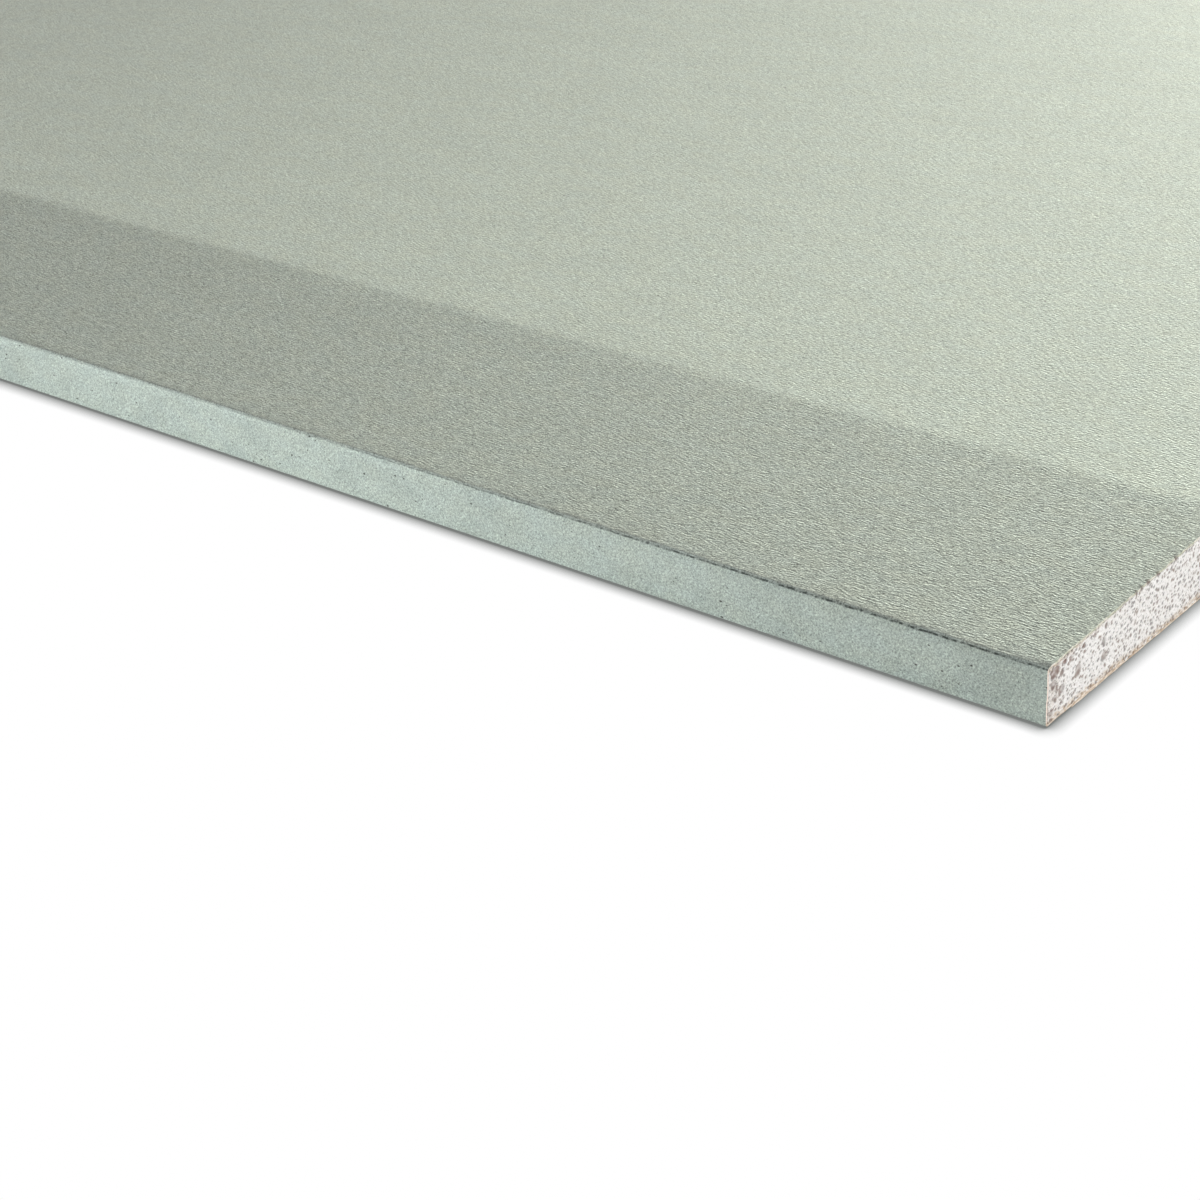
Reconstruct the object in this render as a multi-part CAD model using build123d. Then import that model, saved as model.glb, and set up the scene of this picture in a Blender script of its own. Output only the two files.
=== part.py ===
"""Paper-faced gypsum board: one full sheet of 13 mm stock, lying face up.

The sheet is a cast gypsum core between two sheets of paper. The face paper covers the face, wraps
round both long edges and folds onto the back as a flap. The back paper laps over both flaps and
stops short of the long edges. The face is recessed along both long edges, so that a taped joint
between two sheets finishes flush. The two ends are cut square, with the core open to view.

X runs along the sheet, Y across it and Z up. The origin is under the middle of the sheet, on the
surface that it lies on. Each piece is a section in the YZ plane, carried along the whole length.
"""

import os

from build123d import *

# Sheet, over both papers
SHEET_LENGTH = 2400.0
SHEET_WIDTH = 1200.0
SHEET_THICKNESS = 13.0

# Papers
FACE_PAPER_THICKNESS = 0.4
BACK_PAPER_THICKNESS = 0.4
FLAP_WIDTH = 25.0  # face paper on the back, measured in from the long edge
BACK_PAPER_MARGIN = 8.0  # bare flap between the long edge and the back paper

# Recess along each long edge of the face
RECESS_WIDTH = 60.0
RECESS_DEPTH = 1.9
RECESS_BEND_RADIUS = 120.0  # soft bend where the flat face turns down into the recess

# Arrises of the core along each long edge; the paper that turns over them adds its own thickness
FACE_ARRIS_RADIUS = 0.1
BACK_ARRIS_RADIUS = 0.1

# Levels and places that follow from the sizes above
HALF_WIDTH = SHEET_WIDTH / 2
EDGE_HEIGHT = SHEET_THICKNESS - RECESS_DEPTH
WRAP_BOTTOM = BACK_PAPER_THICKNESS  # underside of the flaps, which the back paper laps over
FACE_FOLD_RADIUS = FACE_ARRIS_RADIUS + FACE_PAPER_THICKNESS
BACK_FOLD_RADIUS = BACK_ARRIS_RADIUS + FACE_PAPER_THICKNESS
FLAP_GAP_WIDTH = SHEET_WIDTH - 2 * FLAP_WIDTH
BACK_PAPER_WIDTH = SHEET_WIDTH - 2 * BACK_PAPER_MARGIN


def flat_strip(width, thickness, bottom):
    """A flat strip of the section, centred across the sheet, with its underside at the given level."""
    return Pos(Y=bottom) * Rectangle(width, thickness, align=(Align.CENTER, Align.MIN))


def wrapped_section():
    """All that the face paper goes round, the paper included: recessed face, rounded long edges."""
    corners_and_radii = [
        ((-HALF_WIDTH, WRAP_BOTTOM), BACK_FOLD_RADIUS),
        ((HALF_WIDTH, WRAP_BOTTOM), BACK_FOLD_RADIUS),
        ((HALF_WIDTH, EDGE_HEIGHT), FACE_FOLD_RADIUS),
        ((HALF_WIDTH - RECESS_WIDTH, SHEET_THICKNESS), RECESS_BEND_RADIUS),
        ((RECESS_WIDTH - HALF_WIDTH, SHEET_THICKNESS), RECESS_BEND_RADIUS),
        ((-HALF_WIDTH, EDGE_HEIGHT), FACE_FOLD_RADIUS),
    ]
    corners, radii = zip(*corners_and_radii)
    return make_face(FilletPolyline(*corners, radius=radii, close=True))


def sheet_sections():
    """The three sections, one for each piece. They meet face to face all along the bond lines."""
    wrapped = wrapped_section()
    inside_the_paper = offset(wrapped, -FACE_PAPER_THICKNESS)
    between_the_flaps = flat_strip(FLAP_GAP_WIDTH, FACE_PAPER_THICKNESS, WRAP_BOTTOM)
    return {
        "gypsum_core": inside_the_paper + between_the_flaps,
        "face_paper": wrapped - inside_the_paper - between_the_flaps,
        "back_paper": flat_strip(BACK_PAPER_WIDTH, BACK_PAPER_THICKNESS, 0),
    }


def carried_along_the_sheet(section):
    """The section, carried from one cut end of the sheet to the other."""
    return extrude(Plane.YZ.offset(-SHEET_LENGTH / 2) * section, SHEET_LENGTH)


def main():
    os.makedirs("parts", exist_ok=True)
    for node, section in sheet_sections().items():
        export_step(carried_along_the_sheet(section), f"parts/{node}.step")


main()
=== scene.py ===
import bpy
import numpy as np
from mathutils import Matrix, Vector


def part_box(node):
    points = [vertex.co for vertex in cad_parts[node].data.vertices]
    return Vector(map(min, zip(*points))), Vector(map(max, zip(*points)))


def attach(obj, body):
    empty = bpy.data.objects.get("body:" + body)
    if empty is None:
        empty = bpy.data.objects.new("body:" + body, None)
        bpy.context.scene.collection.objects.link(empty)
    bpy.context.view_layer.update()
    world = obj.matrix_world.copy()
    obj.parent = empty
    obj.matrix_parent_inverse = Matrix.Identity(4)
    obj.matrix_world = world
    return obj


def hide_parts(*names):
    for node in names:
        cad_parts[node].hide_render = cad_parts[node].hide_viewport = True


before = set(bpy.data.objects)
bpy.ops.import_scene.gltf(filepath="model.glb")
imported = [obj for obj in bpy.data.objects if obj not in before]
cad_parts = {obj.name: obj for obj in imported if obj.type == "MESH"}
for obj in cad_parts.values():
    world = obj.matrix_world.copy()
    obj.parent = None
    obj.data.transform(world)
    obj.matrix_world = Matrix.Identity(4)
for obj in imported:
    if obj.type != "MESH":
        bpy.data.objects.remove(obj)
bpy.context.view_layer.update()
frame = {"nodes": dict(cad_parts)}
print("frame loaded, nodes:", ", ".join(frame["nodes"]))

mm = 0.001

# the section that all three pieces share; the frame gives the overall sizes
coreLow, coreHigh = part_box("gypsum_core")
wrapLow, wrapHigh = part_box("face_paper")
backLow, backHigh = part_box("back_paper")
board = {
    "halfLength": wrapHigh.x,
    "halfWidth": wrapHigh.y,
    "faceLevel": wrapHigh.z,
    "wrapBottom": wrapLow.z,  # underside of the flaps
    "paper": wrapHigh.z - coreHigh.z,
    "flapWidth": 25 * mm,
    "recessWidth": 60 * mm,
    "recessDepth": 1.9 * mm,
    "bendRadius": 120 * mm,
    "faceFold": 0.5 * mm,  # radii on the outside of the face paper
    "backFold": 0.5 * mm,
    "flapStep": 0.1 * mm,  # length of the step in the back of the core where a flap ends
    "faceCrowd": 2.2,  # points over the flat face gather towards the recess
}
board["slope"] = np.arctan2(board["recessDepth"], board["recessWidth"])
board["foldReach"] = board["faceFold"] * np.tan((np.pi / 2 - board["slope"]) / 2)
board["edgeTop"] = board["faceLevel"] - board["recessDepth"] - board["foldReach"]
board["bendRun"] = board["bendRadius"] * np.tan(board["slope"] / 2)

# how the saw left the two ends; every layer follows it
cut = {
    "wave": 0.22 * mm,  # the end wanders in by this much
    "waveLengths": (520 * mm, 190 * mm, 70 * mm),
    "chip": 0.35 * mm,  # deepest nick in the arris between face and end
    "chipLength": 1.3 * mm,
    "chipFrom": 0.74,  # nicks where the noise is above this
    "crowdLength": 11.7 * mm,  # stretches with more nicks and with fewer
    "crowdRange": (0.35, 0.7),
    # the nicks in view: distance from the long edge and half length
    "nicks": np.array([(28.3, 0.35), (30.1, 0.4), (32.3, 0.6), (35.6, 0.4), (41.8, 0.5)]) * mm,
    "close": np.array([0, 0.3, 0.7, 1.4, 2.6, 4.5]) * mm,  # stations near each end
    "clear": 18 * mm,  # the long steps stop this far from the left end
    "seeds": (3, 11),  # left end, right end
    "chipSeed": 50,  # added to the seed of an end
    "crowdSeed": 55,
}


def smoothStep(low, high, value):
    share = np.clip((value - low) / (high - low), 0, 1)
    return share * share * (3 - 2 * share)


def latticeNoise(along, spacing, seed, limit=1.3):
    # random heights on an even lattice, joined by smoothstep curves; 0 to 1. The lattice always runs
    # from -limit to limit, so that two grids agree on it
    place = (np.asarray(along) + limit) / spacing
    heights = np.random.default_rng(seed).random(int(2 * limit / spacing) + 2)
    low = np.floor(place).astype(int)
    share = smoothStep(0, 1, place - low)
    return heights[low] * (1 - share) + heights[low + 1] * share


def cutWave(across, seed):
    # depth of the cut behind a true square end: noises of falling length, each half as deep as the last
    total, most = 0, 0
    for order, length in enumerate(cut["waveLengths"]):
        total = total + latticeNoise(across, length, seed + order) / 2 ** order
        most = most + 1 / 2 ** order
    return cut["wave"] * total / most


def cutChip(across, seed):
    # nicks in the face arris of the cut: the peaks of a short noise, thinned by a longer one, and
    # round dips at the places in view
    nick = latticeNoise(across, cut["chipLength"], seed + cut["chipSeed"])
    crowd = latticeNoise(across, cut["crowdLength"], seed + cut["crowdSeed"])
    nick = smoothStep(cut["chipFrom"], 1.0, nick) * smoothStep(*cut["crowdRange"], crowd)
    for place, half in cut["nicks"]:
        gap = (across + board["halfWidth"] - place) / half
        nick = np.maximum(nick, np.sqrt(np.clip(1 - gap ** 2, 0, None)))
    return cut["chip"] * nick


def outlineLengths(points):
    steps = np.linalg.norm(np.diff(points, axis=0), axis=1)
    return np.concatenate([[0], np.cumsum(steps)])


def halfOutline(counts):
    # outside of the face paper over half the sheet, from the end of a flap to the middle of the face:
    # flap, back fold, edge, face fold, recess, bend, face. Lines are straight and the rest are arcs.
    # Gives points, outward normals and the length from the crease in the middle of the face fold.
    half, low, face = board["halfWidth"], board["wrapBottom"], board["faceLevel"]
    fold, back, bend = board["faceFold"], board["backFold"], board["bendRadius"]
    turn = np.array([np.cos(board["slope"]), np.sin(board["slope"])])
    bendStart = np.array([board["recessWidth"] - half, face]) - board["bendRun"] * turn

    def run(start, end, normal, count, crowd=1.0):
        share = np.linspace(0, 1, count, endpoint=False)[:, None] ** crowd
        points = np.asarray(start) * (1 - share) + np.asarray(end) * share
        return points, np.repeat([normal], count, axis=0)

    def arc(centre, radius, start, end, count):
        turned = np.linspace(start, end, count, endpoint=False)
        normals = np.stack([np.cos(turned), np.sin(turned)], axis=1)
        return np.asarray(centre) + radius * normals, normals

    up = np.pi / 2 + board["slope"]
    upward = np.array([np.cos(up), np.sin(up)])
    foldEnd = np.array([fold - half, board["edgeTop"]]) + fold * upward
    flat = board["recessWidth"] - half + board["bendRun"]
    spans = [
        run((board["flapWidth"] - half, low), (back - half, low), (0, -1), counts["flap"]),
        arc((back - half, low + back), back, -np.pi / 2, -np.pi, counts["backFold"]),
        run((-half, low + back), (-half, board["edgeTop"]), (-1, 0), counts["edge"]),
        arc((fold - half, board["edgeTop"]), fold, np.pi, up, counts["faceFold"]),
        run(foldEnd, bendStart, upward, counts["recess"]),
        arc((flat, face - bend), bend, up, np.pi / 2, counts["bend"]),
        run((flat, face), (0, face), (0, 1), counts["face"], board["faceCrowd"]),
    ]
    points = np.concatenate([span[0] for span in spans] + [[(0, face)]])
    normals = np.concatenate([span[1] for span in spans] + [[(0, 1)]])
    lengths = outlineLengths(points)
    crease = counts["flap"] + counts["backFold"] + counts["edge"] + counts["faceFold"] // 2
    return points, normals, lengths - lengths[crease]


def wrapOutline(seen, plain):
    # both halves; the one towards the camera is sampled finely
    near, far = halfOutline(seen), halfOutline(plain)
    flip = np.array([-1, 1])
    points = np.concatenate([near[0], (far[0] * flip)[-2::-1]])
    normals = np.concatenate([near[1], (far[1] * flip)[-2::-1]])
    return points, normals, np.concatenate([near[2], far[2][-2::-1]])


def endStations(near, nearStep, middleCount):
    # distances in from the right end: close ones at the cut, even steps as far as the camera sees,
    # long ones over the rest and close ones again at the left end
    close, length = cut["close"], 2 * board["halfLength"]
    even = np.arange(close[-1] + nearStep, near, nearStep)
    rest = np.linspace(near, length - cut["clear"], middleCount)
    return np.concatenate([close, even, rest, length - close[::-1]])


def sideNoise(reach, length, seeds):
    # unevenness along the sheet, for each of its long sides
    return [latticeNoise(reach, length, seed, limit=2.5)[:, None] for seed in seeds]


def endDepth(reach, across, fray):
    # how far each station is moved in from a true end: all of it at the cut, none past the close ones
    limit = cut["close"][-1]
    total = np.zeros((len(reach), len(across)))
    for seed, sign, gap in ((cut["seeds"][1], 1, reach), (cut["seeds"][0], -1, reach[::-1])):
        fade = np.clip(1 - gap / limit, 0, 1)[:, None]
        total += sign * fade * (cutWave(across, seed) + fray(seed))
    return total


def fillMesh(name, vertices, quads):
    # whole arrays straight into the mesh
    mesh = bpy.data.meshes.new(name)
    mesh.vertices.add(len(vertices))
    mesh.vertices.foreach_set("co", np.asarray(vertices, dtype=np.float32).ravel())
    mesh.loops.add(quads.size)
    mesh.loops.foreach_set("vertex_index", quads.astype(np.int32).ravel())
    mesh.polygons.add(len(quads))
    mesh.polygons.foreach_set("loop_start", np.arange(0, quads.size, 4, dtype=np.int32))
    mesh.polygons.foreach_set("use_smooth", np.ones(len(quads), dtype=bool))
    mesh.update(calc_edges=True)
    mesh.validate()
    return mesh


def addAttribute(mesh, name, values):
    layer = mesh.attributes.new(name, "FLOAT", "POINT")
    layer.data.foreach_set("value", np.asarray(values, dtype=np.float32).ravel())


def placePiece(name, mesh, node, materials, sharpAngle):
    for material in materials:
        mesh.materials.append(material)
    mesh.set_sharp_from_angle(angle=np.radians(sharpAngle))
    piece = bpy.data.objects.new(name, mesh)
    bpy.context.collection.objects.link(piece)
    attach(piece, "root")
    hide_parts(node)
    print(name, "made,", len(mesh.loops) - 2 * len(mesh.polygons), "triangles")


def tubeQuads(stations, ring):
    # a ring of points carried along stations, closed round the ring
    index = np.arange(stations * ring).reshape(stations, ring)
    following = np.roll(index, -1, axis=1)
    return np.stack([index[:-1], following[:-1], following[1:], index[1:]], axis=-1).reshape(-1, 4)


def capQuads(stations, ring):
    # the two cut ends of a ring that runs out along one skin and back along the other
    out = np.arange(ring // 2 - 1)
    back = ring - 1 - out
    near = np.stack([out, back, back - 1, out + 1], axis=-1)
    far = near[:, ::-1] + (stations - 1) * ring
    return np.concatenate([near, far])


def paperMesh(name, along, ring):
    # stations by ring of points; the walls take the first material and the cut ends the second
    stations, count = ring.shape[:2]
    walls, caps = tubeQuads(stations, count), capQuads(stations, count)
    vertices = np.concatenate([along[..., None], ring], axis=-1).reshape(-1, 3)
    mesh = fillMesh(name, vertices, np.concatenate([walls, caps]))
    kind = np.concatenate([np.zeros(len(walls)), np.ones(len(caps))]).astype(np.int32)
    mesh.polygons.foreach_set("material_index", kind)
    return mesh


# nodes

def screen(red, green, blue):
    # a screen colour, 0 to 255, as the linear colour that sockets take
    value = np.array([red, green, blue]) / 255
    linear = np.where(value <= 0.04045, value / 12.92, ((value + 0.055) / 1.055) ** 2.4)
    return (*linear.tolist(), 1.0)


def startMaterial(name):
    material = bpy.data.materials.new(name)
    material.use_nodes = True
    material.node_tree.nodes.clear()
    return material, material.node_tree


def objectPlace(tree):
    # object coordinates, and each of the three by itself
    coords = addNode(tree, "TexCoord").outputs["Object"]
    return coords, addNode(tree, "SeparateXYZ", {0: coords}).outputs


def addNode(tree, kind, inputs=None, **settings):
    made = tree.nodes.new("ShaderNode" + kind)
    for key, value in settings.items():
        setattr(made, key, value)
    for key, value in (inputs or {}).items():
        if isinstance(value, bpy.types.NodeSocket):
            tree.links.new(value, made.inputs[key])
        else:
            made.inputs[key].default_value = value
    return made


def calc(tree, operation, first, second=0.0, third=0.0):
    made = addNode(tree, "Math", {0: first, 1: second, 2: third}, operation=operation)
    return made.outputs[0]


def times(tree, first, second):
    return calc(tree, "MULTIPLY", first, second)


def mixValue(tree, share, first, second):
    return addNode(tree, "Mix", {0: share, 2: first, 3: second}).outputs[0]


def mixColour(tree, share, first, second, blend="MIX"):
    inputs = {0: share, 6: first, 7: second}
    return addNode(tree, "Mix", inputs, data_type="RGBA", blend_type=blend).outputs[2]


def remap(tree, value, low, high, toLow=0.0, toHigh=1.0, smooth=False):
    kind = "SMOOTHSTEP" if smooth else "LINEAR"
    inputs = {0: value, 1: low, 2: high, 3: toLow, 4: toHigh}
    return addNode(tree, "MapRange", inputs, interpolation_type=kind).outputs[0]


def grainNoise(tree, coords, grain, detail=2.0, rough=0.55, distort=0.0, turn=(0, 0, 0), flat=False,
               levels=None):
    # noise whose blobs measure grain, given along X, Y and Z and then turned; flat noise leaves out Z,
    # and levels are the two that become 0 and 1
    size = {"Vector": coords, "Scale": grain, "Rotation": turn}
    mapped = addNode(tree, "Mapping", size, vector_type="TEXTURE").outputs[0]
    inputs = {"Vector": mapped, "Scale": 1.0, "Detail": detail, "Roughness": rough, "Distortion": distort}
    space = "2D" if flat else "3D"
    noise = addNode(tree, "TexNoise", inputs, noise_dimensions=space).outputs[0]
    return remap(tree, noise, *levels) if levels else noise


def scattered(tree, coords, spacing, smallest, largest, kept):
    # round dots on a jittered lattice: each has its own radius, and only a share of them is kept
    size = {"Vector": coords, "Scale": (1 / spacing, 1 / spacing, 1 / spacing)}
    mapped = addNode(tree, "Mapping", size).outputs[0]
    cells = addNode(tree, "TexVoronoi", {"Vector": mapped, "Scale": 1.0, "Randomness": 1.0})
    chance = addNode(tree, "SeparateColor", {0: cells.outputs["Color"]})
    radius = remap(tree, chance.outputs[0], 0.0, 1.0, smallest / spacing, largest / spacing)
    inside = calc(tree, "SUBTRACT", radius, cells.outputs["Distance"])
    softRim = 0.35 * largest / spacing
    dot = remap(tree, inside, 0.0, softRim, 0.0, 1.0, True)
    shown = calc(tree, "LESS_THAN", chance.outputs[1], kept)
    return times(tree, dot, shown)


def vertexValue(tree, name):
    return addNode(tree, "Attribute", attribute_name=name).outputs["Fac"]


def finishMaterial(tree, colour, rough, height, depth, specular=0.25):
    bump = addNode(tree, "Bump", {"Strength": 1.0, "Distance": depth, "Height": height})
    inputs = {"Base Color": colour, "Roughness": rough, "Specular IOR Level": specular}
    inputs["Normal"] = bump.outputs[0]
    shader = addNode(tree, "BsdfPrincipled", inputs)
    addNode(tree, "OutputMaterial", {"Surface": shader.outputs[0]})


def toneShift(tree, noise, strength, base=1.0):
    # base plus strength times how far the noise is from its middle
    return calc(tree, "MULTIPLY_ADD", calc(tree, "SUBTRACT", noise, 0.5), strength, base)


def paperColour(tree, paper, mottle, light):
    # the ground of a paper, tinted warm and cool by its mottle and scaled by its light and dark
    tint = mixColour(tree, mottle, paper["cool"], paper["warm"])
    colour = mixColour(tree, 1.0, paper["ground"], tint, "MULTIPLY")
    return addNode(tree, "VectorMath", {0: colour, 3: light}, operation="SCALE").outputs[0]


# face paper, which wraps the core

wrap = {
    "ground": screen(187, 194, 182),
    "warm": (1.014, 1.004, 0.986, 1),  # yellowish and bluish mottle
    "cool": (0.99, 1.0, 1.012, 1),
    "mottle": {"grain": (7 * mm, 4 * mm, 4 * mm), "detail": 3.0, "levels": (0.35, 0.65)},
    # fibres lie along the sheet, mostly as relief
    "fibre": {"grain": (1.1 * mm, 0.4 * mm, 1 * mm), "detail": 1.0, "rough": 0.5, "flat": True},
    "fibreTone": 0.3,
    "grit": {"grain": (0.3 * mm, 0.26 * mm, 1 * mm), "detail": 1.0, "rough": 0.6, "flat": True},
    "gritTone": 1.4,
    # coarser unevenness
    "flock": {"grain": (2.2 * mm, 1.5 * mm, 1 * mm), "detail": 3.0, "rough": 1.0, "flat": True},
    "flockTone": 0.95,
    # the edge shows no direction
    "felt": {"grain": (0.32 * mm,) * 3, "detail": 4.0, "rough": 0.75, "turn": (0.6, 0.4, 0.8)},
    "feltTone": 3.3,
    "feltBump": 0.25,
    "wallRange": (0.6, 0.95),  # how upright the paper is where the look of the edge takes over
    "smudge": {"grain": (9 * mm, 9 * mm, 7 * mm), "rough": 0.5},  # soft dark patches on the edge
    "smudgeRange": (0.5, 0.62),
    "smudgeTone": 0.07,
    "cloud": {"grain": (26 * mm, 12 * mm, 12 * mm), "detail": 3.0},
    "cloudTone": 0.16,
    "recessShade": (0.185, 0.05),  # painted shade on the recess, which slopes away from the raking key: a little darker there, with rougher fibres
    "recessShadeAlong": (0.95, 1.18),  # where along the sheet these two hold
    "recessFibre": 0.4,
    "crease": screen(46, 52, 47),  # painted shade in the score line along the fold
    "creaseTone": 0.92,
    "creaseAlong": (0.99, 1.14),  # it gathers strength and width towards the ends, between these places
    "creaseStrength": (0.2, 1.0),
    "creaseNarrow": (1.0, 0.65),  # less is wider
    "creaseDrop": 0.14 * mm,  # how far the line lies below the middle of the fold
    "creaseWidth": 0.2 * mm,
    "creaseCore": 0.3,  # share of the width that is fully dark
    "creaseWaves": {"grain": (2.6 * mm, 6 * mm, 6 * mm), "rough": 0.6},
    "creaseWander": 0.4 * mm,
    "creaseBreaks": {"grain": (0.8 * mm,) * 3},
    "breakRange": (0.4, 0.58),
    "breakTone": 0.3,  # what a break leaves of the line
    "shoulder": 3.4 * mm,  # painted shade: the recess darkens towards the fold
    "shoulderTone": 0.12,
    "slopeReach": 34 * mm,
    "slopeTone": 0.03,
    "underCrease": 2.2 * mm,  # painted highlight and shade on the edge below the crease: lighter mid-length, darker towards the ends
    "underAlong": (0.97, 1.17),
    "underTone": (-0.14, 0.1),
    "speck": screen(62, 58, 52),
    "speckTone": 0.9,
    "specks": (1.7 * mm, 0.11 * mm, 0.23 * mm),  # lattice spacing, smallest and largest radius
    "speckShare": (0.18, 0.85),  # share of cells that hold a speck, on the face and on the edge
    "speckStretch": (0.6, 1, 1),  # specks are longer along the sheet
    # painted shade in the nicks of the face arris at the cut
    "nick": screen(84, 84, 78),
    "nickTone": 0.8,
    "nickReach": 0.7 * mm,  # how far in from the cut a nick shows
    "rough": 0.86,
    "bump": 0.1 * mm,
    # wrinkles in the recess close to the cut
    "buckle": {"grain": (6 * mm, 0.9 * mm, 1 * mm), "detail": 1.0, "rough": 0.5, "distort": 0.4,
               "turn": (0, 0, -0.3), "flat": True},
    "buckleDepth": 0.8,
    "buckleAlong": (1.18, 1.198),
    "buckleAcross": (2 * mm, 18 * mm),
    "groove": 0.05 * mm,  # along the score line
    "grooveWidth": 0.14 * mm,
    "cornerDent": 0.12 * mm,  # the fold is pressed in where it meets the cut
    "cornerAlong": 3 * mm,
    "cornerAcross": 1.2 * mm,
    "waver": 0.1 * mm,  # unevenness of the fold along the sheet
    "waverLength": 11 * mm,
    "waverSeeds": (21, 22),
    "fray": 0.16 * mm,  # raggedness of the cut paper
    "frayLength": 0.8 * mm,
    "fraySeed": 40,
    "arrisRange": (0.3, 0.9),  # how level the paper is where the nicks take hold
    "stations": (430 * mm, 4 * mm, 36),  # as far as the camera sees, the step there, count past it
    "seenCounts": {"flap": 8, "backFold": 6, "edge": 8, "faceFold": 12, "recess": 200, "bend": 8, "face": 26},
    "plainCounts": {"flap": 3, "backFold": 4, "edge": 4, "faceFold": 8, "recess": 8, "bend": 5, "face": 10},
    "sharpAngle": 40,
}


def creaseShadeLine(tree, coords, fold, along):
    # painted shade of the score where the paper was scored and folded: a thin uneven dark line, weaker along
    # some stretches
    wander = grainNoise(tree, coords, **wrap["creaseWaves"])
    wander = toneShift(tree, wander, wrap["creaseWander"], 0.0)
    gap = calc(tree, "ADD", calc(tree, "ADD", fold, wander), wrap["creaseDrop"])
    gap = calc(tree, "ABSOLUTE", gap)
    narrow = remap(tree, along, *wrap["creaseAlong"], *wrap["creaseNarrow"])
    width = wrap["creaseWidth"]
    dark = wrap["creaseCore"] * width
    line = remap(tree, times(tree, gap, narrow), dark, width, 1.0, 0.0, True)
    breaks = grainNoise(tree, coords, **wrap["creaseBreaks"])
    breaks = remap(tree, breaks, *wrap["breakRange"], wrap["breakTone"], 1.0)
    strength = remap(tree, along, *wrap["creaseAlong"], *wrap["creaseStrength"])
    return times(tree, line, times(tree, breaks, strength))


def facePaperFinish():
    # grey-green paper: fibres along the sheet, faint warm and cool mottle, a few dark specks
    material, tree = startMaterial("facePaper")
    coords, place = objectPlace(tree)
    along = calc(tree, "ABSOLUTE", place[0])
    edge, recessBand, fold, nick = [vertexValue(tree, name) for name in ("edge", "recessBand", "fold", "nick")]
    names = ("fibre", "grit", "flock", "felt", "smudge", "cloud", "mottle", "buckle")
    noise = {name: grainNoise(tree, coords, **wrap[name]) for name in names}
    wall = remap(tree, edge, *wrap["wallRange"])

    # light and dark of the fibres on the face and of the felt on the edge
    fibres = 0.0
    for name in ("fibre", "grit", "flock"):
        fibres = toneShift(tree, noise[name], wrap[name + "Tone"], fibres)
    rougher = calc(tree, "MULTIPLY_ADD", recessBand, wrap["recessFibre"], 1.0)
    fibres = calc(tree, "MULTIPLY_ADD", fibres, rougher, 1.0)
    smudge = remap(tree, noise["smudge"], *wrap["smudgeRange"], 1.0, 1 - wrap["smudgeTone"], True)
    felted = times(tree, toneShift(tree, noise["felt"], wrap["feltTone"]), smudge)
    light = mixValue(tree, wall, fibres, felted)

    # painted shade on the recess towards the fold, and painted highlight and shade on the edge below it
    shoulder = calc(tree, "ADD",
                    remap(tree, fold, 0.0, wrap["shoulder"], wrap["shoulderTone"], 0.0, True),
                    remap(tree, fold, 0.0, wrap["slopeReach"], wrap["slopeTone"], 0.0))
    shoulder = times(tree, shoulder, calc(tree, "GREATER_THAN", fold, 0.0))
    shaded = remap(tree, along, *wrap["underAlong"], *wrap["underTone"])
    under = times(tree, remap(tree, fold, -wrap["underCrease"], 0.0), edge)
    shoulder = calc(tree, "ADD", shoulder, times(tree, under, shaded))
    # painted shade over the recess, weaker towards the ends
    darker = remap(tree, along, *wrap["recessShadeAlong"], *wrap["recessShade"])
    for tone in (toneShift(tree, noise["cloud"], wrap["cloudTone"]),
                 calc(tree, "SUBTRACT", 1.0, times(tree, recessBand, darker)),
                 calc(tree, "SUBTRACT", 1.0, shoulder)):
        light = times(tree, light, tone)

    colour = paperColour(tree, wrap, noise["mottle"], light)
    line = creaseShadeLine(tree, coords, fold, along)
    stretch = {"Vector": coords, "Scale": wrap["speckStretch"]}
    shortened = addNode(tree, "Mapping", stretch).outputs[0]
    kept = remap(tree, edge, 0.0, 1.0, *wrap["speckShare"])
    dots = scattered(tree, shortened, *wrap["specks"], kept)
    # painted shade along the score line and in the nicks, over the paper's own dark specks
    for name, mask in (("crease", line), ("speck", dots), ("nick", nick)):
        mask = times(tree, mask, wrap[name + "Tone"])
        colour = mixColour(tree, mask, colour, wrap[name])

    nearCut = remap(tree, along, *wrap["buckleAlong"], 0.0, wrap["buckleDepth"], True)
    corner = times(tree, nearCut, remap(tree, fold, *wrap["buckleAcross"], 1.0, 0.0, True))
    relief = calc(tree, "MULTIPLY_ADD", noise["buckle"], corner, noise["fibre"])
    height = mixValue(tree, wall, relief, times(tree, noise["felt"], wrap["feltBump"]))
    finishMaterial(tree, colour, wrap["rough"], height, wrap["bump"])
    return material


cutPaper = {
    "cream": screen(244, 228, 216),  # at the long edge
    "pale": screen(234, 229, 216),  # at the face
    "olive": screen(188, 190, 168),
    "faceReach": 0.4 * mm,  # from the top of the edge to where the face's colours are full
    "tan": screen(221, 203, 183),  # at the back
    "paleTan": screen(244, 234, 222),
    "backReach": (0.7 * mm, 1.4 * mm),  # the back's colours are full below the first and end at the second
    "brown": screen(168, 139, 113),  # dark fibres
    "plies": {"grain": (0.5 * mm, 1.3 * mm, 0.2 * mm), "detail": 3.0, "rough": 0.65},
    "plyRange": (0.45, 0.56),
    "plyTone": (0.12, 0.65),  # away from the back and at the back
    "tufts": {"grain": (0.8 * mm, 1.3 * mm, 0.8 * mm), "levels": (0.4, 0.6)},
    "rags": {"grain": (0.5 * mm, 1.0 * mm, 0.3 * mm), "detail": 3.0, "rough": 0.6, "levels": (0.42, 0.56)},
    # painted shade in the nicks
    "nick": screen(92, 92, 84),
    "nickTone": 0.9,
    "rough": 0.9,
    "bump": 0.05 * mm,
}


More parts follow.
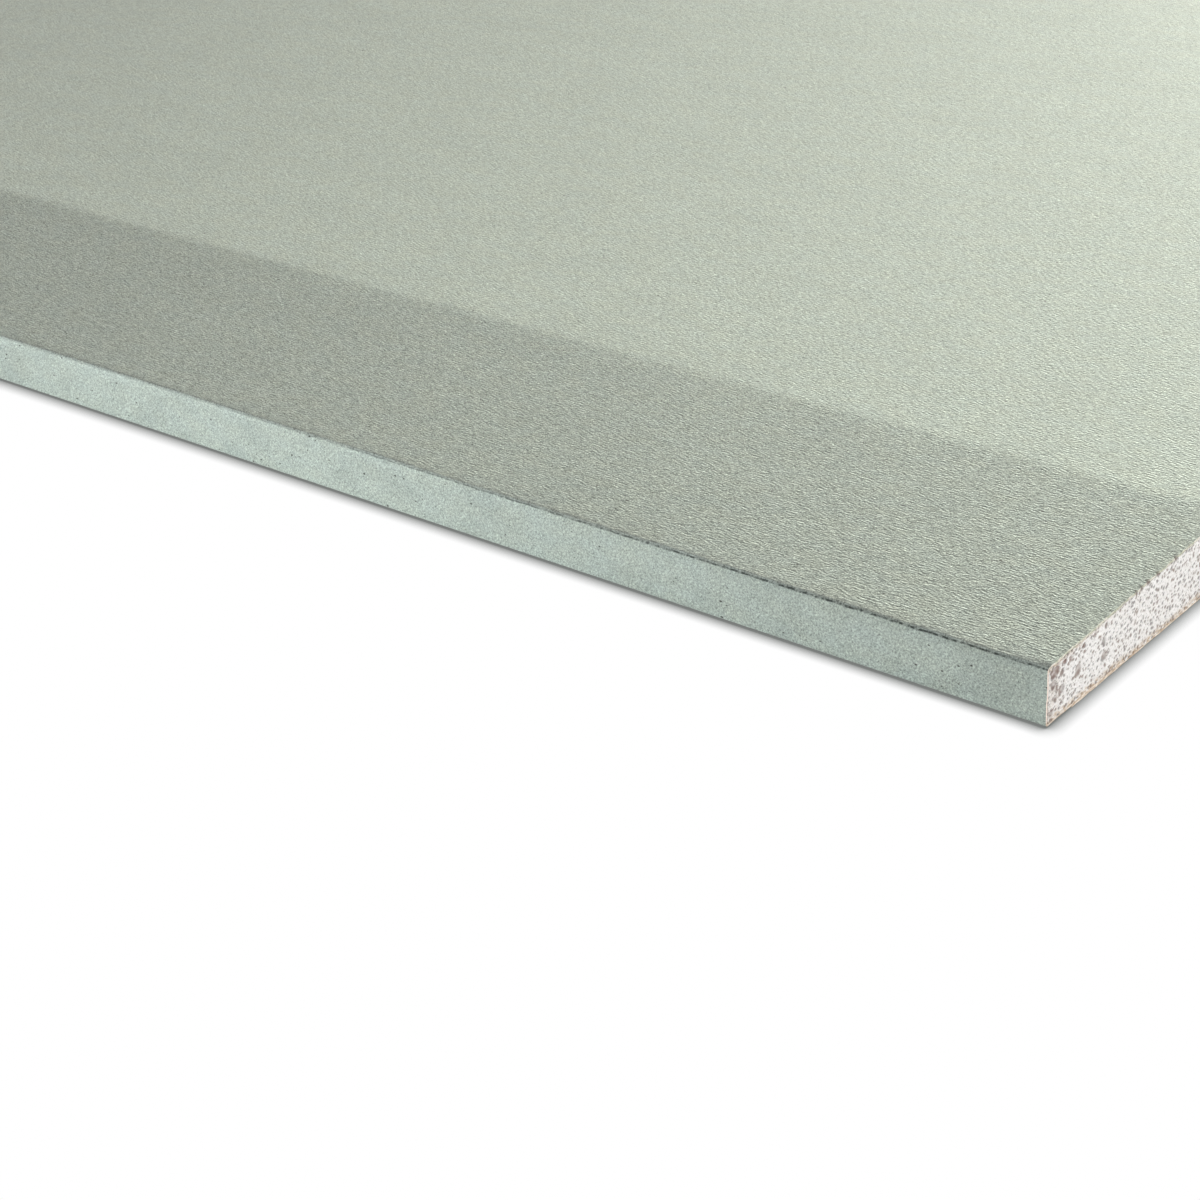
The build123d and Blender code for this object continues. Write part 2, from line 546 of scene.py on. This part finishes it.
def cutPaperFinish():
    # cut plies with brown fibres: cream at the long edge, pale with olive tufts at the face, tan at the back
    material, tree = startMaterial("cutPaper")
    coords, place = objectPlace(tree)
    level = place[2]
    low = remap(tree, level, *cutPaper["backReach"], 1.0, 0.0)
    high = remap(tree, level, board["edgeTop"], board["edgeTop"] + cutPaper["faceReach"])
    plies, tufts, rags = [grainNoise(tree, coords, **cutPaper[name]) for name in ("plies", "tufts", "rags")]
    face = mixColour(tree, tufts, cutPaper["pale"], cutPaper["olive"])
    back = mixColour(tree, rags, cutPaper["paleTan"], cutPaper["tan"])
    ground = mixColour(tree, high, cutPaper["cream"], face)
    ground = mixColour(tree, low, ground, back)
    share = remap(tree, low, 0.0, 1.0, *cutPaper["plyTone"])
    dark = times(tree, remap(tree, plies, *cutPaper["plyRange"]), share)
    colour = mixColour(tree, dark, ground, cutPaper["brown"])
    # painted shade in the nicks
    nick = times(tree, vertexValue(tree, "nick"), cutPaper["nickTone"])
    colour = mixColour(tree, nick, colour, cutPaper["nick"])
    finishMaterial(tree, colour, cutPaper["rough"], plies, cutPaper["bump"])
    return material


def makeFacePaper():
    # the wrap outline carried along the sheet, with a second skin one paper thickness inside it;
    # the face folds waver a little, have a shallow groove along the score line and give at the cut
    points, normals, fold = wrapOutline(wrap["seenCounts"], wrap["plainCounts"])
    reach = endStations(*wrap["stations"])
    edge = np.abs(normals[:, 0])
    turned = np.clip(normals[:, 1], 0, 1) * edge * 2  # 1 in the middle of a face fold
    waver = sideNoise(reach, wrap["waverLength"], wrap["waverSeeds"])
    dent = np.where(points[:, 0] < 0, *waver) * turned * wrap["waver"]
    dent = dent + wrap["groove"] * np.exp(-(fold / wrap["grooveWidth"]) ** 2)
    fromEnd = np.minimum(reach, reach[::-1])[:, None]
    fade = fromEnd / wrap["cornerAlong"] + (fold / wrap["cornerAcross"]) ** 2
    dent = dent + wrap["cornerDent"] * np.exp(-fade)
    outer = points[None] - dent[..., None] * normals[None]
    inner = np.repeat((points - board["paper"] * normals)[None], len(reach), axis=0)
    upper = smoothStep(*wrap["arrisRange"], normals[:, 1])
    lengths = outlineLengths(points)

    def fray(seed):
        ragged = latticeNoise(lengths, wrap["frayLength"], seed + wrap["fraySeed"])
        return wrap["fray"] * ragged + upper * cutChip(points[:, 0], seed)

    along = board["halfLength"] - reach[:, None] - endDepth(reach, points[:, 0], fray)
    along = np.concatenate([along, along[:, ::-1]], axis=1)
    mesh = paperMesh("face_paper_wrap", along, np.concatenate([outer, inner[:, ::-1]], axis=1))
    inFrom = board["halfWidth"] - np.abs(points[:, 0])
    bendRun = board["bendRun"]
    recessBand = 1 - smoothStep(board["recessWidth"] - bendRun, board["recessWidth"] + bendRun, inFrom)
    recessBand = recessBand * (points[:, 1] > board["faceLevel"] / 2) * (1 - edge)
    for name, values in (("edge", edge), ("recessBand", recessBand), ("fold", fold)):
        addAttribute(mesh, name, np.tile(np.concatenate([values, values[::-1]]), len(reach)))
    chipped = upper * cutChip(points[:, 0], cut["seeds"][1]) / cut["chip"]
    shown = (1 - smoothStep(0, wrap["nickReach"], reach))[:, None]
    addAttribute(mesh, "nick", shown * np.concatenate([chipped, chipped[::-1]]))
    materials = [facePaperFinish(), cutPaperFinish()]
    placePiece("face_paper_wrap", mesh, "face_paper", materials, wrap["sharpAngle"])


# gypsum core

gypsum = {
    "white": screen(247, 244, 241),
    "shade": screen(224, 218, 213),  # powdery unevenness
    "powder": {"grain": (0.35 * mm,) * 3, "detail": 3.0, "rough": 0.6},
    "powderRange": (0.35, 0.7),
    "powderBump": 0.5,
    # painted shade inside the pores, voids and nicks, in greys and browns
    "pore": screen(138, 121, 110),
    "greyPore": screen(132, 126, 122),
    "brownPore": screen(136, 114, 106),
    "patches": {"grain": (3 * mm,) * 3, "rough": 0.5, "levels": (0.42, 0.58)},  # pores are greyer in some
    "stain": screen(190, 167, 142),  # where the paper's fibres and glue reach into the core
    "blotch": {"grain": (1.2 * mm, 1.2 * mm, 0.4 * mm), "detail": 3.0, "rough": 0.6, "levels": (0.38, 0.58)},
    # depths between which the stain fades near each paper; it is full at the back
    "backStain": (0.3 * mm, 1.5 * mm),
    "edgeTone": 0.3,
    "edgeStain": (0.5 * mm, 6 * mm),
    "faceTone": 0.6,
    "faceStain": (0.2 * mm, 0.9 * mm),
    "faceAcross": (8 * mm, 26 * mm),  # only near the long edge
    "rows": 74,
    "fineStep": 0.16 * mm,  # columns near the long edge that the camera sees
    "fineReach": 62 * mm,
    "growth": 1.15,  # from one step to the next past the fine ones
    "mostSteps": 400,
    "longestStep": 9 * mm,
    "coarseSteps": (2, 6),  # in fine steps; the mesh takes no pores in longer ones
    "rimPoints": 9,
    "flapPoints": 6,
    "flapShare": 0.6,  # these start this far along the flap
    # lattice spacing, smallest and largest radius, share of cells that hold a pore
    "pores": ((0.9 * mm, 0.17 * mm, 0.33 * mm, 0.9), (0.55 * mm, 0.08 * mm, 0.17 * mm, 0.6)),
    "poreSeeds": (0, 7),
    "poreShade": 0.8,
    "poreEdge": 0.16 * mm,  # depth at which a pore's tone is full
    "stretch": 1.25,  # the pores are longer across the sheet than they are high
    "warp": 0.14 * mm,  # how far the pores are pulled out of round
    "warpLength": 0.55 * mm,
    # the same for pores drawn in the material only, as painted shade and bump; the small ones stand in where
    # the mesh is too coarse
    "smallPores": (0.95 * mm, 0.15 * mm, 0.4 * mm, 0.95),
    "smallShade": 0.7,
    "tinyPores": (0.42 * mm, 0.03 * mm, 0.14 * mm, 0.7),
    "tinyShade": 0.35,
    # the larger voids in view, in mm: from the long edge, level, half width, half height; and how brown
    "voids": (
        (2.4, 9.2, 1.6, 1.1, 0.7), (1.9, 7.2, 0.9, 1.0, 0.6), (4.5, 8.2, 0.8, 0.7, 0.4),
        (5.5, 9.8, 0.5, 0.5, 1.0), (7.2, 9.4, 0.5, 0.6, 0.7), (4.5, 5.3, 1.0, 0.9, 0.4),
        (2.6, 4.4, 0.7, 0.7, 0.2), (1.4, 2.3, 0.7, 0.7, 0.5), (9.7, 6.2, 1.0, 1.1, 0.3),
        (17.8, 7.5, 0.55, 1.0, 0.2), (17.9, 4.8, 1.0, 0.85, 0.0), (14.8, 10.2, 0.6, 0.5, 0.5),
        (11.3, 9.9, 0.6, 0.45, 0.7), (4.5, 2.8, 0.5, 0.4, 0.4), (18.4, 10.3, 0.5, 0.5, 0.5),
        (3.0, 6.1, 0.6, 0.6, 0.5),
    ),
    "voidSeed": 30,
    "voidUneven": 0.9,  # of their rims
    "voidUnevenLength": 0.7 * mm,
    "voidDepth": 0.4 * mm,
    "voidShade": (0.58, 0.88),  # painted shade in the voids, plain and brown
    "voidEdge": 0.5,  # share of the depth at which the tone is full
    "speckle": (0.45, 1.55),  # light and dark inside the voids
    "speckleLength": 0.5 * mm,
    "speckleSeed": 80,
    "chipLevels": (0.1 * mm, 0.5 * mm),  # the nicks fade between these depths under the face paper
    # painted shade in the nicks at the top of the core
    "chipShade": 0.9,
    "chipEdge": 0.2 * mm,
    "solidRim": 0.3 * mm,  # no pores this close to the papers
    "depthShare": 0.6,
    "rough": 0.92,
    "bump": 0.1 * mm,
    "specular": 0.2,
    "sharpAngle": 50,
}


def gypsumFinish():
    # white gypsum with grey and brown painted shade in its air pores, stained where it meets the paper
    material, tree = startMaterial("gypsum")
    coords = addNode(tree, "TexCoord").outputs["Object"]
    names = ("hollowShade", "brown", "stain", "coarse")
    hollowShade, brown, stain, coarse = [vertexValue(tree, name) for name in names]
    names = ("powder", "patches", "blotch")
    powder, patches, blotch = [grainNoise(tree, coords, **gypsum[name]) for name in names]
    small = times(tree, scattered(tree, coords, *gypsum["smallPores"]), coarse)
    tiny = scattered(tree, coords, *gypsum["tinyPores"])
    # painted shade in the pores, voids and nicks
    inside = hollowShade
    for dots, name in ((small, "smallShade"), (tiny, "tinyShade")):
        inside = calc(tree, "MAXIMUM", inside, times(tree, dots, gypsum[name]))
    tone = mixColour(tree, patches, gypsum["pore"], gypsum["greyPore"])
    tone = mixColour(tree, brown, tone, gypsum["brownPore"])
    white = mixColour(tree, remap(tree, powder, *gypsum["powderRange"]), gypsum["white"], gypsum["shade"])
    white = mixColour(tree, times(tree, stain, blotch), white, gypsum["stain"])
    colour = mixColour(tree, inside, white, tone)
    raised = times(tree, powder, gypsum["powderBump"])
    height = calc(tree, "SUBTRACT", raised, calc(tree, "ADD", small, tiny))
    finishMaterial(tree, colour, gypsum["rough"], height, gypsum["bump"], gypsum["specular"])
    return material


def patchNoise(across, up, spacing, seed):
    # random heights on a square lattice, joined by smoothstep curves both ways; 0 to 1
    column, row = across / spacing, up / spacing
    a, u = np.floor(column).astype(int), np.floor(row).astype(int)
    shareAcross, shareUp = smoothStep(0, 1, column - a), smoothStep(0, 1, row - u)
    a, u = a - a.min(), u - u.min()
    heights = np.random.default_rng(seed).random((a.max() + 2, u.max() + 2))
    low = heights[a, u] * (1 - shareUp) + heights[a, u + 1] * shareUp
    high = heights[a + 1, u] * (1 - shareUp) + heights[a + 1, u + 1] * shareUp
    return low * (1 - shareAcross) + high * shareAcross


def poreDepth(across, up, spacing, smallest, largest, kept, seed):
    # spherical bowls on a jittered lattice: the deepest of the nine bowls round each point
    column, row = np.floor(across / spacing).astype(int), np.floor(up / spacing).astype(int)
    shape = (column.max() - column.min() + 3, row.max() - row.min() + 3)
    jitterAcross, jitterUp, size, chance = np.random.default_rng(seed).random((4, *shape))
    depth = np.zeros(across.shape)
    for stepAcross in (-1, 0, 1):
        for stepUp in (-1, 0, 1):
            a, u = column + stepAcross, row + stepUp
            cell = (a - column.min() + 1, u - row.min() + 1)
            gapAcross = across - (a + jitterAcross[cell]) * spacing
            gapUp = up - (u + jitterUp[cell]) * spacing
            radius = smallest + (largest - smallest) * size[cell]
            inside = radius ** 2 - gapAcross ** 2 - gapUp ** 2
            bowl = np.sqrt(np.clip(inside, 0, None)) * (chance[cell] < kept)
            depth = np.maximum(depth, bowl)
    return depth


def voidShape(across, up, seed):
    # the larger voids: dished ellipses with uneven rims; gives depth from 0 to 1 and how brown
    uneven = patchNoise(across, up, gypsum["voidUnevenLength"], seed) - 0.5
    uneven = 1 + gypsum["voidUneven"] * uneven
    dish, brown = np.zeros(across.shape), np.zeros(across.shape)
    for place, level, width, height, tone in gypsum["voids"]:
        gapAcross = (across + board["halfWidth"] - place * mm) / (width * mm)
        gapUp = (up - level * mm) / (height * mm)
        one = np.sqrt(np.clip(1 - (gapAcross ** 2 + gapUp ** 2) * uneven, 0, None))
        brown = np.where(one > dish, tone, brown)
        dish = np.maximum(dish, one)
    return dish, brown


def coreLevels(across):
    # lowest and highest level of the core at each place across the sheet: the wrap's arcs and lines,
    # one paper thickness further in, and the step in the back where the flap ends
    paper, slope = board["paper"], board["slope"]
    fromEdge = board["halfWidth"] - paper - np.abs(across)
    back = board["backFold"] - paper
    dip = np.clip(back - fromEdge, 0, back)
    bottom = board["wrapBottom"] + paper + back - np.sqrt(back ** 2 - dip ** 2)
    pastFlap = fromEdge - (board["flapWidth"] - paper)
    bottom = bottom - paper * smoothStep(0, board["flapStep"], pastFlap)
    arris, bend = board["faceFold"] - paper, board["bendRadius"] - paper
    fromBend = fromEdge + paper - board["recessWidth"] - board["bendRun"]  # negative outside the flat face
    drop = np.clip(fromBend, -bend, 0)
    bent = board["faceLevel"] - paper - bend + np.sqrt(bend ** 2 - drop ** 2)
    taper = board["edgeTop"] + arris * np.cos(slope)
    taper = taper + (fromEdge - arris + arris * np.sin(slope)) * np.tan(slope)
    rounded = board["edgeTop"] + np.sqrt(arris ** 2 - np.clip(arris - fromEdge, 0, arris) ** 2)
    inArris = fromEdge < arris * (1 - np.sin(slope))
    inTaper = fromBend < -bend * np.sin(slope)
    return bottom, np.where(inArris, rounded, np.where(inTaper, taper, bent))


def coreColumns():
    # places across the sheet: crowded over the arris, even and fine as far as the camera sees, then
    # ever longer steps, and crowded again over the other arris
    half = board["halfWidth"] - board["paper"]
    arris = board["faceFold"] - board["paper"]
    rim = arris * (1 - np.cos(np.linspace(0, np.pi / 2, gypsum["rimPoints"])))
    fine = np.arange(rim[-1] + gypsum["fineStep"], gypsum["fineReach"], gypsum["fineStep"])
    growing = gypsum["fineStep"] * gypsum["growth"] ** np.arange(gypsum["mostSteps"])
    longer = gypsum["fineReach"] + np.cumsum(np.minimum(growing, gypsum["longestStep"]))
    longer = longer[longer < 2 * half - board["flapWidth"] - gypsum["longestStep"]]
    flap = board["flapWidth"] - board["paper"]
    rest = np.linspace(gypsum["flapShare"] * flap, 2 * rim[-1], gypsum["flapPoints"])
    last = np.concatenate([[flap + board["flapStep"], flap], rest, rim[::-1]])
    return np.concatenate([rim, fine, longer, 2 * half - last]) - half


def makeCore():
    # each cut end is a grid, columns across the sheet and rows from back to face, sunk by its pores;
    # long walls join the rims of the two ends
    half = board["halfWidth"] - board["paper"]
    across = coreColumns()
    bottom, top = coreLevels(across)
    share = np.linspace(0, 1, gypsum["rows"] + 1)
    y = np.repeat(across[:, None], len(share), axis=1)
    z = bottom[:, None] + (top - bottom)[:, None] * share
    fromTop, fromBottom, fromEdge = top[:, None] - z, z - bottom[:, None], half - np.abs(y)
    rim = smoothStep(0, gypsum["solidRim"], np.minimum(np.minimum(fromTop, fromBottom), fromEdge))
    step = np.gradient(across)[:, None] / gypsum["fineStep"]
    coarse = smoothStep(*gypsum["coarseSteps"], step) * np.ones(y.shape)
    nearEdge = 1 - smoothStep(*gypsum["edgeStain"], fromEdge)
    nearBack = 1 - smoothStep(*gypsum["backStain"], fromBottom)
    nearFace = 1 - smoothStep(*gypsum["faceStain"], fromTop)
    nearFace = nearFace * (1 - smoothStep(*gypsum["faceAcross"], fromEdge))
    stain = gypsum["edgeTone"] * nearEdge + nearBack + gypsum["faceTone"] * nearFace

    ends, hollows, browns = [], [], []
    for sign, seed in ((1, cut["seeds"][1]), (-1, cut["seeds"][0])):
        pulled = [value + gypsum["warp"] * (patchNoise(y, z, gypsum["warpLength"], seed + order) - 0.5)
                  for order, value in enumerate((y, z))]
        depth = np.zeros(y.shape)
        for sizes, poreSeed in zip(gypsum["pores"], gypsum["poreSeeds"]):
            bowls = poreDepth(pulled[0] / gypsum["stretch"], pulled[1], *sizes, seed + poreSeed)
            depth = np.maximum(depth, bowls)
        dish, brown = voidShape(*pulled, seed + gypsum["voidSeed"])
        # painted shade in the pores, the voids and the nicks
        pore = gypsum["poreShade"] * smoothStep(0, gypsum["poreEdge"], depth)
        depth = np.maximum(gypsum["depthShare"] * depth, gypsum["voidDepth"] * dish) * rim * (1 - coarse)
        chip = cutChip(y, seed) * (1 - smoothStep(*gypsum["chipLevels"], fromTop)) * (1 - coarse)
        x = board["halfLength"] - cutWave(y, seed) - np.maximum(depth, chip)
        ends.append(np.stack([sign * x, y, z], axis=-1))
        speckle = patchNoise(y, z, gypsum["speckleLength"], seed + gypsum["speckleSeed"])
        tone = np.interp(speckle, (0, 1), gypsum["speckle"]) * np.interp(brown, (0, 1), gypsum["voidShade"])
        dark = np.maximum(pore, tone * smoothStep(0, gypsum["voidEdge"], dish)) * (1 - coarse)
        nickShade = gypsum["chipShade"] * smoothStep(0, gypsum["chipEdge"], chip)
        hollows.append(np.maximum(dark, nickShade))
        browns.append(brown * (dish > 0))

    columns, rows = y.shape
    other = columns * rows
    index = np.arange(other).reshape(columns, rows)
    right = np.stack([index[:-1, :-1], index[1:, :-1], index[1:, 1:], index[:-1, 1:]], axis=-1).reshape(-1, 4)
    left = right[:, ::-1] + other
    rimLoop = np.concatenate([index[:-1, 0], index[-1, :-1], index[:0:-1, -1], index[0, :0:-1]])
    after = np.roll(rimLoop, -1)
    walls = np.stack([after, rimLoop, rimLoop + other, after + other], axis=-1)
    vertices = np.concatenate([end.reshape(-1, 3) for end in ends])
    mesh = fillMesh("gypsum_core_cast", vertices, np.concatenate([right, left, walls]))
    named = {"hollowShade": hollows, "brown": browns, "stain": (stain, stain), "coarse": (coarse, coarse)}
    for name, values in named.items():
        addAttribute(mesh, name, np.clip(np.concatenate([v.ravel() for v in values]), 0, 1))
    placePiece("gypsum_core_cast", mesh, "gypsum_core", [gypsumFinish()], gypsum["sharpAngle"])


# back paper

backPaper = {
    "ground": screen(178, 164, 146),
    "warm": (1.05, 1.0, 0.93, 1),
    "cool": (0.96, 1.0, 1.03, 1),
    "mottle": {"grain": (18 * mm, 11 * mm, 11 * mm), "detail": 3.0, "rough": 0.6, "levels": (0.35, 0.65)},
    "fibre": {"grain": (1.8 * mm, 0.4 * mm, 0.4 * mm), "detail": 2.5, "rough": 0.6, "distort": 0.6},
    "fibreTone": 1.2,
    "speck": screen(96, 80, 62),
    "speckTone": 0.7,
    # lattice spacing, smallest and largest radius, share of cells that hold a speck
    "specks": (3 * mm, 0.12 * mm, 0.4 * mm, 0.6),
    "rough": 0.9,
    "bump": 0.05 * mm,
    "wander": 0.5 * mm,  # of the long edges
    "wanderLength": 35 * mm,
    "wanderSeeds": (31, 32),
    "fray": 0.18 * mm,  # raggedness of the cut paper
    "frayLength": 1.1 * mm,
    "fraySeed": 60,
    "stations": (430 * mm, 12 * mm, 60),  # as far as the camera sees, the step there, count past it
    "columns": 161,
    "crowd": 1.8,  # they gather towards the long edges
    "sharpAngle": 40,
}


def backPaperFinish():
    # plain recycled paper: coarse fibres, mottle, many small brown specks
    material, tree = startMaterial("backPaper")
    coords = addNode(tree, "TexCoord").outputs["Object"]
    fibre, mottle = [grainNoise(tree, coords, **backPaper[name]) for name in ("fibre", "mottle")]
    light = toneShift(tree, fibre, backPaper["fibreTone"])
    colour = paperColour(tree, backPaper, mottle, light)
    dots = times(tree, scattered(tree, coords, *backPaper["specks"]), backPaper["speckTone"])
    colour = mixColour(tree, dots, colour, backPaper["speck"])
    finishMaterial(tree, colour, backPaper["rough"], fibre, backPaper["bump"])
    return material


def makeBackPaper():
    # a flat strip: underside and top skin, long edges that wander a little, ends cut with the sheet
    reach = endStations(*backPaper["stations"])
    spread = np.linspace(-1, 1, backPaper["columns"])
    spread = np.sign(spread) * (1 - (1 - np.abs(spread)) ** backPaper["crowd"])
    wander = sideNoise(reach, backPaper["wanderLength"], backPaper["wanderSeeds"])
    limits = [backHigh.y - backPaper["wander"] * w for w in wander]
    y = np.where(spread < 0, *limits) * spread

    def fray(seed):
        ragged = latticeNoise(y[0], backPaper["frayLength"], seed + backPaper["fraySeed"])
        return backPaper["fray"] * ragged

    along = board["halfLength"] - reach[:, None] - endDepth(reach, y[0], fray)
    under = np.stack([y, np.full(y.shape, backLow.z)], axis=-1)
    over = np.stack([y, np.full(y.shape, backHigh.z)], axis=-1)
    ring = np.concatenate([under[:, ::-1], over], axis=1)
    mesh = paperMesh("back_paper_lay", np.concatenate([along[:, ::-1], along], axis=1), ring)
    materials = [backPaperFinish(), bpy.data.materials["cutPaper"]]
    placePiece("back_paper_lay", mesh, "back_paper", materials, backPaper["sharpAngle"])


makeFacePaper()
makeCore()
makeBackPaper()

# camera

view = {
    "azimuth": 41.1,
    "elevation": 28.37,
    "roll": -3.76,
    "lens": 74.38,
    "sensor": 36.0,
    "frame": 1200,
    "cornerPixel": (1047.6, 699.5),  # where the near corner shows
    "cornerLevel": 5.6 * mm,
    "cornerDepth": 387.9 * mm,
    "clip": (10 * mm, 100.0),
}


def makeCamera():
    turn, rise, roll = np.radians([view["azimuth"], view["elevation"], view["roll"]])
    back = np.array([np.sin(turn) * np.cos(rise), -np.cos(turn) * np.cos(rise), np.sin(rise)])
    level = np.array([np.cos(turn), np.sin(turn), 0])
    upright = np.cross(back, level)
    right = level * np.cos(roll) + upright * np.sin(roll)
    up = upright * np.cos(roll) - level * np.sin(roll)
    corner = np.array([board["halfLength"], -board["halfWidth"], view["cornerLevel"]])
    focal = view["lens"] / view["sensor"] * view["frame"]
    middle = view["frame"] / 2
    offset = np.array([view["cornerPixel"][0] - middle, middle - view["cornerPixel"][1]]) / focal
    place = corner - view["cornerDepth"] * (right * offset[0] + up * offset[1] - back)
    data = bpy.data.cameras.new("camera")
    data.lens, data.sensor_width = view["lens"], view["sensor"]
    data.clip_start, data.clip_end = view["clip"]
    camera = bpy.data.objects.new("camera", data)
    rows = np.column_stack([right, up, back, place]).tolist()
    camera.matrix_world = Matrix(rows + [[0, 0, 0, 1]])
    bpy.context.collection.objects.link(camera)
    bpy.context.scene.camera = camera
    print("camera at", np.round(place, 3))


makeCamera()

# stage and lights

stage = {
    "floorSize": 40.0,
    "floorDrop": 0.02 * mm,
    "white": 0.8,
    "shadowReach": (3.8 * mm, 2.8 * mm),  # narrower towards the camera
    "shadowAlong": (0.94, 1.19),  # where along the sheet these two hold
    "shadowFull": (0.385, 0.53),  # share of open sky where it is darkest, at the long edge and past the end
    "shadowNone": 1.0,  # and where it ends
    "shadowTint": (0.195, 0.205, 0.197, 1),
    "shadowSamples": 16,
    "endAlong": (-4 * mm, 6 * mm),  # the long edge's shadow turns into the end's between these
    "endReach": 0.5 * mm,  # how much wider the shadow is past the right end
    "ambient": 0.06,
    "sky": (0.97, 0.99, 1.0, 1),
    # a card that keeps the raking key off the rear edge: its place, half length, lower and upper side
    "cardBehind": 60 * mm,
    "cardHalf": 1.32,
    "cardLevels": (5 * mm, 17.3 * mm),
    "cardColour": (0.05, 0.05, 0.05, 1),
}

# the key rakes over the face from the far side; the others keep the rest at an even level
lamps = {
    "key": {"place": (-1.5, 8.0, 0.82), "aim": (14.0, -40.0, 0.013), "power": 32300,
            "colour": (0.965, 1.0, 0.885), "cone": 11.6, "blend": 1.0, "radius": 0.25},
    "top": {"place": (-0.5, 0.05, 1.7), "aim": (-0.5, 0.05, 0.0), "power": 21.3,
            "colour": (1.0, 0.945, 0.97), "size": (1.7, 1.0)},
    "fill": {"place": (-0.5, -1.9, 0.15), "aim": (-0.3, -0.6, 0.0), "power": 6.8,
             "colour": (0.87, 0.94, 1.0), "size": (2.0, 0.2)},
    "near": {"place": (1.0, -0.88, 0.035), "aim": (1.0, -0.6, 0.005), "power": 0.625,
             "colour": (0.87, 0.94, 1.0), "size": (0.25, 0.05)},
    "side": {"place": (2.5, -0.58, 0.22), "aim": (1.2, -0.5, 0.0), "power": 15.9,
             "colour": (0.97, 0.99, 1.0), "size": (0.8, 0.3)},
    "left": {"place": (-2.6, 0.0, 0.7), "aim": (-1.2, 0.0, 0.0), "power": 10.0,
             "colour": (0.97, 0.99, 1.0), "size": (0.8, 0.8)},
    "back": {"place": (-0.2, 2.3, 1.0), "aim": (-0.2, 0.6, 0.0), "power": 14.0,
             "colour": (0.97, 0.99, 1.0), "size": (2.4, 0.6)},
}


def splitRays(tree, output, plain, shown):
    # shown for what the camera sees, straight or by way of another surface, and plain for the rest
    rays = addNode(tree, "LightPath").outputs
    seen = calc(tree, "MAXIMUM", rays["Is Camera Ray"], rays["Is Glossy Ray"])
    seen = calc(tree, "MAXIMUM", seen, rays["Is Transmission Ray"])
    both = addNode(tree, "MixShader", {0: seen, 1: plain.outputs[0], 2: shown.outputs[0]})
    addNode(tree, output, {"Surface": both.outputs[0]})


def makeSquare(name, corners, material):
    mesh = fillMesh(name, corners, np.array([[0, 1, 2, 3]]))
    mesh.materials.append(material)
    square = bpy.data.objects.new(name, mesh)
    bpy.context.collection.objects.link(square)
    return square


def makeFloor():
    # one large square; white to the eye, darkened close to what stands on it
    material, tree = startMaterial("floor")
    along = objectPlace(tree)[1][0]
    reach = remap(tree, along, *stage["shadowAlong"], *stage["shadowReach"])
    first, last = [board["halfLength"] + place for place in stage["endAlong"]]
    past = remap(tree, along, first, last, 0.0, 1.0, True)
    reach = calc(tree, "MULTIPLY_ADD", past, stage["endReach"], reach)
    full = mixValue(tree, past, *stage["shadowFull"])
    near = addNode(tree, "AmbientOcclusion", {"Distance": reach}, samples=stage["shadowSamples"])
    clear = remap(tree, near.outputs["AO"], full, stage["shadowNone"])
    shade = mixColour(tree, clear, stage["shadowTint"], (1, 1, 1, 1))
    shown = addNode(tree, "Emission", {"Color": shade, "Strength": 1.0})
    matte = addNode(tree, "BsdfDiffuse", {"Color": (stage["white"],) * 3 + (1,)})
    splitRays(tree, "OutputMaterial", matte, shown)
    corners = np.array([[-1, -1], [1, -1], [1, 1], [-1, 1]]) * stage["floorSize"] / 2
    floor = makeSquare("floor", np.column_stack([corners, np.full(4, -stage["floorDrop"])]), material)


def makeCard():
    # an upright strip behind the sheet that only casts a shadow
    material, tree = startMaterial("card")
    matte = addNode(tree, "BsdfDiffuse", {"Color": stage["cardColour"]})
    addNode(tree, "OutputMaterial", {"Surface": matte.outputs[0]})
    across, along = board["halfWidth"] + stage["cardBehind"], stage["cardHalf"]
    low, high = stage["cardLevels"]
    corners = [[-along, across, low], [along, across, low], [along, across, high], [-along, across, high]]
    card = makeSquare("card", corners, material)
    card.visible_camera = card.visible_diffuse = card.visible_glossy = card.visible_transmission = False


def makeWorld():
    # white to the eye, a little even light for the rest
    world = bpy.data.worlds.new("studio")
    world.use_nodes = True
    tree = world.node_tree
    tree.nodes.clear()
    soft = addNode(tree, "Background", {"Color": stage["sky"], "Strength": stage["ambient"]})
    white = addNode(tree, "Background", {"Color": (1, 1, 1, 1), "Strength": 1.0})
    splitRays(tree, "OutputWorld", soft, white)
    bpy.context.scene.world = world


def makeLamp(name, values):
    kind = "SPOT" if "cone" in values else "AREA"
    data = bpy.data.lights.new(name, kind)
    data.energy, data.color = values["power"], values["colour"]
    if kind == "SPOT":
        data.spot_size, data.spot_blend = np.radians(values["cone"]), values["blend"]
        data.shadow_soft_size = values["radius"]
    else:
        data.shape = "RECTANGLE"
        data.size, data.size_y = values["size"]
    lamp = bpy.data.objects.new(name, data)
    lamp.location = values["place"]
    aim = Vector(values["aim"]) - Vector(values["place"])
    lamp.rotation_euler = aim.to_track_quat("-Z", "Y").to_euler()
    lamp.visible_camera = False
    bpy.context.collection.objects.link(lamp)


makeFloor()
makeCard()
makeWorld()
for lampName, lampValues in lamps.items():
    makeLamp(lampName, lampValues)
bpy.context.scene.view_settings.view_transform = "Standard"
print("stage and lights made")
